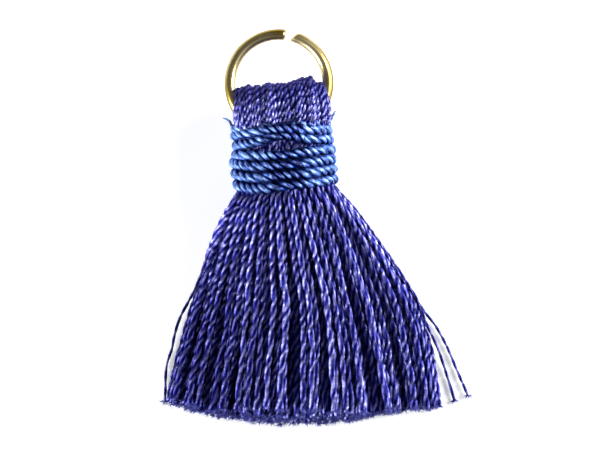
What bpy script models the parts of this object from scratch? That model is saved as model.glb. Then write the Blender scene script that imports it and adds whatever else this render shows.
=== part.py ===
"""A small silky tassel lying on its back: a split jump ring, a bundle of threads folded over it, and
a cord wound round the neck. +Y runs up the tassel to the ring and +Z up from the surface it lies on.
The origin is on that surface, under the fourth turn of the binding. Sizes are in millimetres until a
mesh is made."""

import math

import bmesh
import bpy
import numpy as np

METRE = 0.001                   # one millimetre, in metres
APART = 0.3                     # clearance between two pieces
MIDDLE = 2.8                    # height of the neck's middle above the surface

# Jump ring
RING_OUTER_RADIUS = 4.0
RING_WIRE_RADIUS = 0.4
RING_MIDDLE_Y = 5.78
RING_DROOP = math.radians(5.0)  # the free end hangs towards the surface
RING_GAP_FROM = 78.2            # degrees from +X: the square cut end
RING_GAP_TO = 68.2              # the slanting cut end, at the wire's middle
RING_END_SLANT = 9.5            # degrees that the slanting end gives up for each mm outwards
RING_STEPS = 44
RING_SIDES = 10

# Folded head and the neck under the binding
HEAD_HALF_WIDTH = 3.68
HEAD_HALF_DEPTH = 2.4
HEAD_BULGE_Y = 3.68             # where the head is deepest
HEAD_RISE = 1.6                 # from there up to the fold
HEAD_SHOULDER_Y = 3.4           # just above the binding
HEAD_SHOULDER_WIDTH = 3.4       # half sizes there
HEAD_SHOULDER_DEPTH = 2.2
FOLD_NARROWING = 0.25           # the head is this much narrower at the fold, on each side
HEAD_POWER = 2.6                # squareness of the head's outline; 2 is an ellipse
HEAD_ROW_ANGLES = (0, 28, 52, 72, 90)  # degrees from the front round to the fold
FOLD_BUMP_HEIGHT = 0.35         # one loop stands proud of the fold
FOLD_BUMP_X = 1.9
FOLD_BUMP_WIDTH = 0.9
FOLD_CORNER_DROP = 0.35
RIB_COUNT = 16                  # threads that show side by side on the head
RIB_HEIGHT = 0.12
NECK_HALF_WIDTH = 2.85
NECK_HALF_DEPTH = 1.9
NECK_ROWS = ((-2.75, 0.62), (-2.1, 0.9), (-1.5, 1.0), (3.02, 1.0))  # y, share of the neck's size

# Binding cord: eight turns, read as a sleeve with one helical rib
BINDING_TURNS = 8
BINDING_PITCH = 0.575
BINDING_TOP_Y = 2.88            # at the left side, where the first turn starts
BINDING_HALF_WIDTH = 3.78       # over the ribs
BINDING_HALF_DEPTH = 2.85       # over the ribs; the surface flattens what would sink into it
BINDING_RIB_HEIGHT = 0.22
BINDING_SAG_TOP = 0.2           # turns dip at the front and the back, more so lower down
BINDING_SAG_BOTTOM = 0.75
BINDING_COLUMNS = 30
RIB_CORNERS = ((0.0, 0.0), (0.3, 1.0), (0.7, 1.0))  # share of the pitch, share of the rib's height
LOOSE_ENDS = (
    # the side it stands on, how far down the binding it starts, its lean outwards and its length
    {"name": "left_end", "side": -1, "below_top": 0.7, "lean": 0.75, "length": 1.25},
    {"name": "right_end", "side": 1, "below_top": 0.75, "lean": 0.5, "length": 1.15},
)
LOOSE_END_RADIUS = 0.2
LOOSE_END_SEAT = 0.25           # how deep its root sits in the binding
LOOSE_END_TAPER = ((0.0, 1.0), (0.35, 1.0), (0.75, 0.8), (1.0, 0.45))  # share of length, of radius

# Skirt strands
STRAND_COUNT = 150              # about; it follows from the lattice
LATTICE_OFFSET = (0.8, 0.3)     # lets the lattice reach both sides of the disc
SPREAD_ROUNDS = 80
SPREAD_SHARE = 0.4              # of what two strands lack in distance, made up in each round
STRAND_SPACING = 1.62           # least distance between two strands' middles, in strand sides
SKIRT_SECTIONS = (
    # one row for each section, from inside the neck down to the cut edge; lean shifts the section
    # sideways, sink is the share by which its rim has come down, side is the strands' thickness
    {"y": -1.9, "half_width": 2.45, "half_depth": 1.45, "middle": 2.8, "lean": 0.0, "sink": 0.0,
     "side": 0.17},
    {"y": -2.38, "half_width": 2.7, "half_depth": 1.5, "middle": 2.9, "lean": 0.0, "sink": 0.0,
     "side": 0.19},
    {"y": -2.9, "half_width": 4.2, "half_depth": 1.68, "middle": 2.9, "lean": 0.0, "sink": 0.0,
     "side": 0.23},
    {"y": -3.7, "half_width": 4.9, "half_depth": 2.2, "middle": 2.7, "lean": 0.0, "sink": 0.2,
     "side": 0.27},
    {"y": -6.5, "half_width": 6.4, "half_depth": 2.05, "middle": 2.05, "lean": 0.25, "sink": 0.7,
     "side": 0.29},
    {"y": -11.0, "half_width": 8.6, "half_depth": 1.7, "middle": 1.5, "lean": 0.55, "sink": 1.0,
     "side": 0.29},
    {"y": -18.27, "half_width": 10.35, "half_depth": 1.35, "middle": 1.1, "lean": 0.05, "sink": 1.0,
     "side": 0.29},
)
CUT_SLOPE = -0.101              # the cut edge, against X
CUT_ARC = 0.0045
UNDERSIDE_LONGER = 1.1          # the lowest strands reach past the front ones
UNDERSIDE_ARC = 0.006
STRAYS = (
    # the outermost strands on each side: how far they bow out half way, and reach out at the tip
    {"side": -1, "rank": 0, "bow": 0.55, "reach": 0.1, "tip_y": -17.1},
    {"side": 1, "rank": 0, "bow": 0.2, "reach": 1.55, "tip_y": -18.0},
    {"side": 1, "rank": 1, "bow": 0.0, "reach": 0.95, "tip_y": -18.6},
)


def clear_scene():
    """Remove whatever the scene holds."""
    for item in list(bpy.data.objects):
        bpy.data.objects.remove(item, do_unlink=True)


def mesh_object(name, corners, faces):
    """A mesh object from corners in millimetres, with its faces turned outwards."""
    mesh = bpy.data.meshes.new(name)
    mesh.from_pydata([tuple(corner) for corner in np.asarray(corners) * METRE], [], faces)
    shape = bmesh.new()
    shape.from_mesh(mesh)
    bmesh.ops.remove_doubles(shape, verts=shape.verts, dist=1e-7)
    bmesh.ops.recalc_face_normals(shape, faces=shape.faces)
    shape.to_mesh(mesh)
    shape.free()
    item = bpy.data.objects.new(name, mesh)
    bpy.context.scene.collection.objects.link(item)
    return item


def paint(item, colour, roughness, metallic):
    """Give the object its own Principled material."""
    material = bpy.data.materials.new(item.name)
    material.use_nodes = True
    shader = material.node_tree.nodes["Principled BSDF"]
    shader.inputs["Base Color"].default_value = (*colour, 1.0)
    shader.inputs["Roughness"].default_value = roughness
    shader.inputs["Metallic"].default_value = metallic
    item.data.materials.append(material)


def make_cutter(item):
    """Mark an object as a helper of a Boolean."""
    item.hide_render = True
    item.display_type = "WIRE"


def boolean(item, helper, operation):
    """Cut or join the helper, exactly."""
    modifier = item.modifiers.new(helper.name, "BOOLEAN")
    modifier.operation = operation
    modifier.object = helper
    modifier.solver = "EXACT"
    make_cutter(helper)


def loft_faces(rings, sides, closed_ends=True):
    """Quads between rings of corners numbered one after another, with the two ends filled."""
    faces = []
    for ring in range(rings - 1):
        for side in range(sides):
            after = (side + 1) % sides
            faces.append((ring * sides + side, ring * sides + after,
                          (ring + 1) * sides + after, (ring + 1) * sides + side))
    if closed_ends:
        faces.append(tuple(range(sides))[::-1])
        faces.append(tuple(range((rings - 1) * sides, rings * sides)))
    return faces


def on_ring(angle, out, up):
    """A point of the ring's frame: angle round it, distance from its middle, height over its plane."""
    x = out * math.cos(angle)
    along = out * math.sin(angle)
    seat = RING_OUTER_RADIUS - RING_WIRE_RADIUS     # the ring turns about its lowest point when it droops
    y = RING_MIDDLE_Y - seat + (along + seat) * math.cos(RING_DROOP) + up * math.sin(RING_DROOP)
    z = MIDDLE - (along + seat) * math.sin(RING_DROOP) + up * math.cos(RING_DROOP)
    return (x, y, z)


def build_jump_ring():
    """The open wire ring, square at one cut end and slanting at the other."""
    middle_radius = RING_OUTER_RADIUS - RING_WIRE_RADIUS
    corners = []
    for step in range(RING_STEPS + 1):
        share = step / RING_STEPS
        degrees = RING_GAP_FROM + (360.0 + RING_GAP_TO - RING_GAP_FROM) * share
        for side in range(RING_SIDES):
            turn = 2.0 * math.pi * side / RING_SIDES
            outwards = RING_WIRE_RADIUS * math.cos(turn)
            slant = RING_END_SLANT * outwards if step == RING_STEPS else 0.0
            corners.append(on_ring(math.radians(degrees - slant), middle_radius + outwards,
                                   RING_WIRE_RADIUS * math.sin(turn)))
    ring = mesh_object("jump_ring", corners, loft_faces(RING_STEPS + 1, RING_SIDES))
    paint(ring, (0.83, 0.66, 0.30), 0.22, 1.0)
    ring.data.shade_smooth()
    ring.data.set_sharp_from_angle(angle=math.radians(50.0))
    return ring


def build_ring_channel():
    """The room that the ring needs in the folded yarn: a torus one clearance thicker than the wire."""
    middle_radius = RING_OUTER_RADIUS - RING_WIRE_RADIUS
    sides = 10
    channel_radius = (RING_WIRE_RADIUS + APART) / math.cos(math.pi / sides)
    corners = []
    for step in range(RING_STEPS):
        angle = 2.0 * math.pi * step / RING_STEPS
        for side in range(sides):
            turn = 2.0 * math.pi * (side + 0.5) / sides
            corners.append(on_ring(angle, middle_radius + channel_radius * math.cos(turn),
                                   channel_radius * math.sin(turn)))
    corners += corners[:sides]
    faces = loft_faces(RING_STEPS + 1, sides, closed_ends=False)
    return mesh_object("ring_channel", corners, faces)


def head_row(y, half_width, half_depth, power=HEAD_POWER, rib_up=0.0, rib_out=0.0):
    """One row round the head: along the front from left to right, then back along the underside.
    Every second corner stands on a thread, raised up the tassel and outwards by the rib's height."""
    columns = 2 * RIB_COUNT
    row = []
    for face in (1, -1):
        for column in range(columns):
            place = -1.0 + 2.0 * column / columns
            u = place * face
            depth = half_depth * (1.0 - abs(u) ** power) ** (1.0 / power)
            crest = RIB_HEIGHT * (column % 2) * (1.0 - u ** 8)
            row.append((half_width * u, y + crest * rib_up, MIDDLE + face * (depth + crest * rib_out)))
    return row


def fold_height(x):
    """How far the fold stands above or below its usual height at x."""
    bump = FOLD_BUMP_HEIGHT * math.exp(-((x - FOLD_BUMP_X) / FOLD_BUMP_WIDTH) ** 2)
    return bump - FOLD_CORNER_DROP * abs(x / HEAD_HALF_WIDTH) ** 6


def build_head():
    """The neck, and above it the ribbed head that closes in the fold over the ring."""
    rows = [head_row(y, NECK_HALF_WIDTH * share, NECK_HALF_DEPTH * share, power=2.0)
            for y, share in NECK_ROWS]
    rows.append(head_row(HEAD_SHOULDER_Y, HEAD_SHOULDER_WIDTH, HEAD_SHOULDER_DEPTH, rib_out=1.0))
    for degrees in HEAD_ROW_ANGLES:
        angle = math.radians(degrees)
        rise = math.sin(angle)
        row = head_row(0.0, HEAD_HALF_WIDTH - FOLD_NARROWING * rise ** 4,
                       HEAD_HALF_DEPTH * math.cos(angle), rib_up=rise, rib_out=math.cos(angle))
        rows.append([(x, HEAD_BULGE_Y + y + (HEAD_RISE + fold_height(x)) * rise, z) for x, y, z in row])
    corners = [corner for row in rows for corner in row]
    sides = len(rows[0])
    faces = loft_faces(len(rows), sides, closed_ends=False)
    faces.append(tuple(range(sides)))
    return mesh_object("yarn_bundle", corners, faces)


def strand_roots():
    """Places in a unit disc that stay evenly apart however the disc is stretched along X and Z: the
    points a + b*g of the golden ratio g, each paired with its mirror number."""
    golden = (1.0 + math.sqrt(5.0)) / 2.0
    mirror = 1.0 - golden
    step = math.sqrt(math.pi / (STRAND_COUNT * math.sqrt(5.0)))
    reach = range(-40, 41)
    off_x, off_z = LATTICE_OFFSET
    spots = [(step * (a + b * golden + off_x), step * (a + b * mirror + off_z))
             for a in reach for b in reach]
    inside = np.array([spot for spot in spots if math.hypot(*spot) <= 1.0])
    return inside / np.hypot(inside[:, 0], inside[:, 1]).max()


def spread(spots, spacing, floor):
    """Push apart every pair that stands closer than the spacing, and lift what would sink."""
    for _ in range(SPREAD_ROUNDS):
        between = spots[:, None] - spots[None]
        distance = np.linalg.norm(between, axis=2)
        np.fill_diagonal(distance, spacing)
        push = np.clip(spacing - distance, 0.0, None) * SPREAD_SHARE / distance
        spots = spots + (between * push[..., None]).sum(axis=1)
        spots[:, 1] = np.maximum(spots[:, 1], floor)
    return spots


def cut_edge(x, height_share):
    """Where a strand that ends at x is cut: a slanting shallow arc, lower for the strands underneath."""
    front = SKIRT_SECTIONS[-1]["y"] + CUT_SLOPE * x + CUT_ARC * x ** 2
    return front - (UNDERSIDE_LONGER - UNDERSIDE_ARC * x ** 2) * (1.0 - height_share)


def strand_sections():
    """The places of all strands at each section of the skirt, as an array of sections, strands and
    x, y, z. Every strand keeps its share of each section's outline, and stands clear of the others."""
    roots = strand_roots()
    sections = []
    for row in SKIRT_SECTIONS:
        floor = row["side"] / 2.0
        sunk = (row["middle"] - floor) * row["sink"] * roots[:, 0] ** 2
        spots = np.stack([row["lean"] + row["half_width"] * roots[:, 0],
                          row["middle"] + row["half_depth"] * roots[:, 1] - sunk], axis=1)
        spots = spread(spots, row["side"] * STRAND_SPACING, floor)
        sections.append(np.stack([spots[:, 0], np.full(len(spots), row["y"]), spots[:, 1]], axis=1))
    sections = np.array(sections)
    tips = sections[-1]
    top = tips[:, 2].max()
    tips[:, 1] = cut_edge(tips[:, 0], np.clip(tips[:, 2] / top, 0.0, 1.0))
    for stray in STRAYS:
        order = np.argsort(-stray["side"] * sections[-2][:, 0])
        strand = order[stray["rank"]]
        sections[-2][strand, 0] += stray["side"] * stray["bow"]
        sections[-1][strand, 0] += stray["side"] * stray["reach"]
        sections[-1][strand, 1] = stray["tip_y"]
        sections[-1][strand, 2] = SKIRT_SECTIONS[-1]["side"] / 2.0
    return sections


def build_strands():
    """All skirt strands as square rods that keep apart, in one object."""
    sections = strand_sections()
    square = np.array(((-0.5, -0.5), (0.5, -0.5), (0.5, 0.5), (-0.5, 0.5)))
    corners = []
    faces = []
    for strand in range(sections.shape[1]):
        first = len(corners)
        for row, middle in zip(SKIRT_SECTIONS, sections[:, strand]):
            for x, z in square * row["side"]:
                corners.append(middle + (x, 0.0, z))
        faces += [tuple(first + corner for corner in face) for face in loft_faces(len(sections), 4)]
    return mesh_object("skirt_strands", corners, faces)


def binding_point(turn, rib_share, column):
    """A point on the sleeve: so many turns from the start, on its inner skin if rib_share is None."""
    angle = 2.0 * math.pi * column / BINDING_COLUMNS
    across = math.sin(angle) ** 2
    sag = BINDING_SAG_TOP + (BINDING_SAG_BOTTOM - BINDING_SAG_TOP) * turn / BINDING_TURNS
    y = BINDING_TOP_Y - BINDING_PITCH * (turn + column / BINDING_COLUMNS) - sag * across
    if rib_share is None:
        half_width = NECK_HALF_WIDTH + APART
        half_depth = NECK_HALF_DEPTH + APART
    else:
        half_width = BINDING_HALF_WIDTH - BINDING_RIB_HEIGHT * (1.0 - rib_share)
        half_depth = BINDING_HALF_DEPTH - BINDING_RIB_HEIGHT * (1.0 - rib_share)
    return (-half_width * math.cos(angle), y, max(0.0, MIDDLE + half_depth * math.sin(angle)))


def build_binding():
    """The wound cord as one sleeve whose rib climbs like the cord does, with a step at either end."""
    per_turn = len(RIB_CORNERS)
    outer_rows = BINDING_TURNS * per_turn
    corners = []
    numbers = {}

    def corner(skin, row, column):
        """The number of a corner; past the last column it is the first one of the next turn."""
        rows_a_turn = per_turn if skin == "outer" else 1
        if column == BINDING_COLUMNS:
            row, column = row + rows_a_turn, 0
        key = (skin, row, column)
        if key not in numbers:
            turn, part = divmod(row, rows_a_turn)
            share, height = RIB_CORNERS[part] if skin == "outer" else (0.0, None)
            numbers[key] = len(corners)
            corners.append(binding_point(turn + share, height, column))
        return numbers[key]

    faces = []
    for column in range(BINDING_COLUMNS):
        for row in range(outer_rows):
            faces.append((corner("outer", row, column), corner("outer", row, column + 1),
                          corner("outer", row + 1, column + 1), corner("outer", row + 1, column)))
        for row in range(BINDING_TURNS):
            faces.append((corner("inner", row, column), corner("inner", row + 1, column),
                          corner("inner", row + 1, column + 1), corner("inner", row, column + 1)))
        for inner_row, outer_row in ((0, 0), (BINDING_TURNS, outer_rows)):
            faces.append((corner("inner", inner_row, column), corner("inner", inner_row, column + 1),
                          corner("outer", outer_row, column + 1), corner("outer", outer_row, column)))
    for inner_row, outer_row in ((0, 0), (BINDING_TURNS, outer_rows)):
        step = [corner("outer", outer_row + part, 0) for part in range(per_turn + 1)]
        faces.append((corner("inner", inner_row, 0), *step, corner("inner", inner_row + 1, 0)))
    return mesh_object("binding", corners, faces)


def build_loose_end(end):
    """A short tapered tail of the binding cord, standing out of its top edge."""
    sides = 6
    corners = []
    for share, thickness in LOOSE_END_TAPER:
        x = end["side"] * (BINDING_HALF_WIDTH - LOOSE_END_SEAT + end["lean"] * share)
        y = BINDING_TOP_Y - end["below_top"] + end["length"] * share
        radius = LOOSE_END_RADIUS * thickness
        for number in range(sides):
            turn = 2.0 * math.pi * number / sides
            corners.append((x + radius * math.cos(turn), y, MIDDLE + radius * math.sin(turn)))
    return mesh_object(end["name"], corners, loft_faces(len(LOOSE_END_TAPER), sides))


def main():
    clear_scene()
    build_jump_ring()

    bundle = build_head()
    boolean(bundle, build_ring_channel(), "DIFFERENCE")
    boolean(bundle, build_strands(), "UNION")
    paint(bundle, (0.055, 0.060, 0.235), 0.5, 0.0)

    binding = build_binding()
    for end in LOOSE_ENDS:
        boolean(binding, build_loose_end(end), "UNION")
    paint(binding, (0.075, 0.150, 0.420), 0.45, 0.0)


main()
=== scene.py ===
import math

import bpy
import numpy as np
from mathutils import Matrix, Vector


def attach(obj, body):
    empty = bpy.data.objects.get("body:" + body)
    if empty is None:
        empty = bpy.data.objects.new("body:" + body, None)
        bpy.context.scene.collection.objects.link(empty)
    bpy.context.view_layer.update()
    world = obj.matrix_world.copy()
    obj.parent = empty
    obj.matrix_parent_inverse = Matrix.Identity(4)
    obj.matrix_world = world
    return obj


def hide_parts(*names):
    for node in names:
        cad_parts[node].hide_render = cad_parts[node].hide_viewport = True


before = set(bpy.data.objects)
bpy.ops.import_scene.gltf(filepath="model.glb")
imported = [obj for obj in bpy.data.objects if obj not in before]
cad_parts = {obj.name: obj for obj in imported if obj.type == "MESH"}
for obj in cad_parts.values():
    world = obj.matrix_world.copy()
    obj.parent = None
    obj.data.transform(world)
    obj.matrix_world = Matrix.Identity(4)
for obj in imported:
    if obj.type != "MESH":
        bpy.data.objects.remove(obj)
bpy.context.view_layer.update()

mm = 0.001                                  # shapes are worked out in millimetres
neckZ = 2.8                                 # height of the neck's middle above the table
plyCrowding = 0.8                           # under 1, a ply's points crowd towards its creases
# painted shade: the crease value, and with it the painted crease shade, grows as a skin faces its
# neighbour, over this range
besideShadeRange = (0.30, 1.05)                 # how squarely a skin faces its neighbour, none to full crease
dice = np.random.default_rng(1471)


def smoothStep(low, high, value):
    # 3t^2 - 2t^3, with t the value's share of the way from low to high
    share = np.clip((np.asarray(value, float) - low) / (high - low), 0.0, 1.0)
    return share * share * (3.0 - 2.0 * share)


def smoothRows(rows, width):
    # each row becomes the bell-weighted mean of its neighbours; the ends are held by repeating them
    reach = int(3 * width) + 1
    weights = np.exp(-0.5 * (np.arange(-reach, reach + 1) / width) ** 2)
    weights /= weights.sum()
    padded = np.concatenate([np.repeat(rows[:1], reach, 0), rows, np.repeat(rows[-1:], reach, 0)])
    return sum(weight * padded[step:step + len(rows)] for step, weight in enumerate(weights))


def plyProfile(plies, plyRadius, offset, steps):
    # outline of round plies laid about an axis: r = offset cos d + sqrt(ply^2 - offset^2 sin^2 d),
    # where d is the angle to the nearest ply's middle; points crowd towards the crease between plies
    half = math.pi / plies
    share = np.linspace(-1.0, 1.0, steps + 1)[:-1]
    away = half * np.sign(share) * np.abs(share) ** plyCrowding
    radius = offset * np.cos(away) + np.sqrt(plyRadius ** 2 - (offset * np.sin(away)) ** 2)
    angle = (away[None] + 2.0 * half * np.arange(plies)[:, None]).ravel()
    radius = np.tile(radius, plies)
    return np.stack([radius * np.cos(angle), radius * np.sin(angle)], axis=1)


def roundProfile(radius, steps):
    # circle: (r cos a, r sin a)
    angle = np.arange(steps) * 2.0 * math.pi / steps
    return radius * np.stack([np.cos(angle), np.sin(angle)], axis=1)


def unit(vectors):
    # each vector divided by its own length
    return vectors / np.maximum(np.linalg.norm(vectors, axis=-1, keepdims=True), 1e-9)


def lengthAlong(paths):
    # running sum of the distances between a path's points
    steps = np.linalg.norm(np.diff(paths, axis=1), axis=2)
    return np.concatenate([np.zeros((len(paths), 1)), np.cumsum(steps, axis=1)], axis=1)


def sweep(paths, reference, profile, turn, scale):
    # P = path + scale (a side + b up): the profile's (a, b) turned by the angle turn; side is the
    # reference direction squared up to the path, and up stands on both
    along = unit(np.gradient(paths, axis=1))
    side = unit(reference - (along * reference).sum(2, keepdims=True) * along)
    up = np.cross(along, side)
    cosine, sine = np.cos(turn)[..., None], np.sin(turn)[..., None]
    a = (profile[:, 0] * cosine - profile[:, 1] * sine) * scale[..., None]
    b = (profile[:, 0] * sine + profile[:, 1] * cosine) * scale[..., None]
    return paths[:, :, None] + a[..., None] * side[:, :, None] + b[..., None] * up[:, :, None]


def putTubes(name, paths, reference, profile, turn, scale, tone, beside=None, lessCreaseShade=None):
    # closed tubes in one mesh: quads from ring to ring, and a fan over each end; crease, which the
    # materials use for painted shade, is the depth between the plies, more where a tube faces its
    # neighbours beside it, less by the last share
    count, rings, around = paths.shape[0], paths.shape[1], len(profile)
    skin = sweep(paths, np.asarray(reference, float), profile, turn, scale)
    ends = paths[:, [0, -1]]
    points = np.concatenate([skin.reshape(-1, 3), ends.reshape(-1, 3)])
    number = np.arange(count * rings * around).reshape(count, rings, around)
    after = np.roll(number, -1, axis=2)
    quads = np.stack([number[:, :-1], after[:, :-1], after[:, 1:], number[:, 1:]], axis=-1).reshape(-1, 4)
    first = count * rings * around + 2 * np.arange(count)[:, None] + np.zeros(around, int)
    fans = np.concatenate([np.stack([after[:, 0], number[:, 0], first], -1).reshape(-1, 3),
                           np.stack([number[:, -1], after[:, -1], first + 1], -1).reshape(-1, 3)])
    corners = np.concatenate([quads.ravel(), fans.ravel()]).astype(np.int32)
    starts = np.concatenate([np.arange(len(quads)) * 4, quads.size + np.arange(len(fans)) * 3])
    mesh = bpy.data.meshes.new(name)
    mesh.vertices.add(len(points))
    mesh.vertices.foreach_set("co", (points * mm).astype(np.float32).ravel())
    mesh.loops.add(len(corners))
    mesh.loops.foreach_set("vertex_index", corners)
    mesh.polygons.add(len(starts))
    mesh.polygons.foreach_set("loop_start", starts.astype(np.int32))
    mesh.polygons.foreach_set("use_smooth", np.ones(len(starts), bool))
    mesh.update(calc_edges=True)
    distance = lengthAlong(paths)
    u = np.arange(around) / around
    v = np.broadcast_to(distance[:, :, None], number.shape)
    u0 = np.broadcast_to(u, number.shape)
    quadU = np.stack([u0[:, :-1], u0[:, :-1] + 1.0 / around, u0[:, 1:] + 1.0 / around, u0[:, 1:]], -1)
    quadV = np.stack([v[:, :-1], v[:, :-1], v[:, 1:], v[:, 1:]], -1)
    fanU = np.tile(np.stack([u + 1.0 / around, u, u], -1), (2 * count, 1))
    fanV = np.concatenate([np.repeat(distance[:, 0], around), np.repeat(distance[:, -1], around)])
    flat = np.concatenate([np.stack([quadU.ravel(), quadV.ravel()], -1),
                           np.stack([fanU.ravel(), np.repeat(fanV, 3)], -1)])
    mesh.uv_layers.new(name="UVMap").data.foreach_set("uv", flat.astype(np.float32).ravel())
    tones = np.broadcast_to(tone.reshape(count, -1, 1) if tone.ndim > 1 else tone[:, None, None],
                            number.shape)
    endTones = tones[:, [0, -1], 0]
    shade = mesh.attributes.new("tone", "FLOAT", "POINT")
    shade.data.foreach_set("value", np.concatenate([tones.ravel(), endTones.ravel()]).astype(np.float32))
    reach = np.hypot(profile[:, 0], profile[:, 1])
    depth = (reach.max() - reach) / max(reach.max() - reach.min(), 0.02)
    depth = np.broadcast_to(depth, number.shape)
    # painted shade: facing a neighbour deepens the crease value, and the last share takes painted crease
    # shade away
    if beside is not None:
        away = unit(skin - paths[:, :, None])
        facing = smoothStep(*besideShadeRange, np.abs((away * beside).sum(3)))
        depth = 1.0 - (1.0 - depth) * (1.0 - facing)
    if lessCreaseShade is not None:
        depth = depth * (1.0 - lessCreaseShade)[..., None]
    depths = np.concatenate([depth.ravel(), np.ones(2 * count)])
    crease = mesh.attributes.new("crease", "FLOAT", "POINT")
    crease.data.foreach_set("value", depths.astype(np.float32))
    piece = bpy.data.objects.new(name, mesh)
    bpy.context.scene.collection.objects.link(piece)
    print(name, len(quads) * 2 + len(fans), "triangles")
    return piece


def dress(piece, material, slot, *nodes):
    # gives a piece its material and its body and hides the nodes that it stands for; slot is not used
    piece.data.materials.append(material)
    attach(piece, "root")
    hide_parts(*nodes)


def newMaterial(name):
    # a plain material, its nodes and its links
    material = bpy.data.materials.new(name)
    material.use_nodes = True
    return material, material.node_tree.nodes, material.node_tree.links


def addMath(nodes, links, operation, *values):
    # one step of arithmetic on plain numbers and on the outputs of other nodes
    node = nodes.new("ShaderNodeMath")
    node.operation = operation
    for socket, value in zip(node.inputs, values):
        if isinstance(value, bpy.types.NodeSocket):
            links.new(value, socket)
        else:
            socket.default_value = value
    return node.outputs[0]


def addNoise(nodes, links, x, y, scale, detail):
    # smooth noise at the place (x, y)
    place = nodes.new("ShaderNodeCombineXYZ")
    links.new(x, place.inputs["X"])
    links.new(y, place.inputs["Y"])
    noise = nodes.new("ShaderNodeTexNoise")
    noise.inputs["Scale"].default_value = scale
    noise.inputs["Detail"].default_value = detail
    links.new(place.outputs[0], noise.inputs["Vector"])
    return noise.outputs["Fac"]


def addAttribute(nodes, name):
    # a number that each point of the mesh carries
    node = nodes.new("ShaderNodeAttribute")
    node.attribute_name = name
    return node.outputs["Fac"]


def addRamp(nodes, links, value, *stops):
    # colours at their places along a value, mixed evenly in between
    node = nodes.new("ShaderNodeValToRGB")
    ramp = node.color_ramp.elements
    for number, (position, colour) in enumerate(stops):
        stop = ramp[number] if number < 2 else ramp.new(position)
        stop.position = position
        stop.color = (*colour, 1.0)
    links.new(value, node.inputs["Fac"])
    return node.outputs["Color"]


def filamentGroup():
    # fine filaments running along a ply, and slow unevenness of its colour: noise at the UV map's
    # (u filaments, v / fleck length) and (u, v / patch length)
    group = bpy.data.node_groups.new("silkFilaments", "ShaderNodeTree")
    group.interface.new_socket(name="Vector", in_out="INPUT", socket_type="NodeSocketVector")
    for label in ("Filaments", "Fleck Length", "Patch Length"):
        group.interface.new_socket(name=label, in_out="INPUT", socket_type="NodeSocketFloat")
    for label in ("Height", "Patch"):
        group.interface.new_socket(name=label, in_out="OUTPUT", socket_type="NodeSocketFloat")
    nodes, links = group.nodes, group.links
    source = nodes.new("NodeGroupInput").outputs
    result = nodes.new("NodeGroupOutput").inputs
    split = nodes.new("ShaderNodeSeparateXYZ")
    links.new(source["Vector"], split.inputs[0])
    u, v = split.outputs["X"], split.outputs["Y"]
    across = addMath(nodes, links, "MULTIPLY", u, source["Filaments"])
    fleck = addMath(nodes, links, "DIVIDE", v, source["Fleck Length"])
    links.new(addNoise(nodes, links, across, fleck, scale=1.0, detail=2.0), result["Height"])
    patch = addMath(nodes, links, "DIVIDE", v, source["Patch Length"])
    links.new(addNoise(nodes, links, u, patch, scale=1.5, detail=1.0), result["Patch"])
    return group


silkFilaments = filamentGroup()


def fineSurface(nodes, links, shader, look):
    # the filaments' height gives the roughness, from smoothest at 0.35 to roughest at 0.65, and the
    # bump; the height and the patches go on to the colour
    place = nodes.new("ShaderNodeUVMap")
    place.uv_map = "UVMap"
    fine = nodes.new("ShaderNodeGroup")
    fine.node_tree = silkFilaments
    fine.inputs["Filaments"].default_value = look["filaments"]
    fine.inputs["Fleck Length"].default_value = look["fleckLength"]
    fine.inputs["Patch Length"].default_value = look["patchLength"]
    links.new(place.outputs["UV"], fine.inputs["Vector"])
    rough = nodes.new("ShaderNodeMapRange")
    rough.inputs["From Min"].default_value = 0.35
    rough.inputs["From Max"].default_value = 0.65
    rough.inputs["To Min"].default_value = look["smoothest"]
    rough.inputs["To Max"].default_value = look["roughest"]
    links.new(fine.outputs["Height"], rough.inputs["Value"])
    links.new(rough.outputs["Result"], shader.inputs["Roughness"])
    bump = nodes.new("ShaderNodeBump")
    bump.inputs["Strength"].default_value = look["bump"]
    bump.inputs["Distance"].default_value = look["bumpDepth"] * mm
    links.new(fine.outputs["Height"], bump.inputs["Height"])
    links.new(bump.outputs["Normal"], shader.inputs["Normal"])
    return fine.outputs["Height"], fine.outputs["Patch"]


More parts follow.
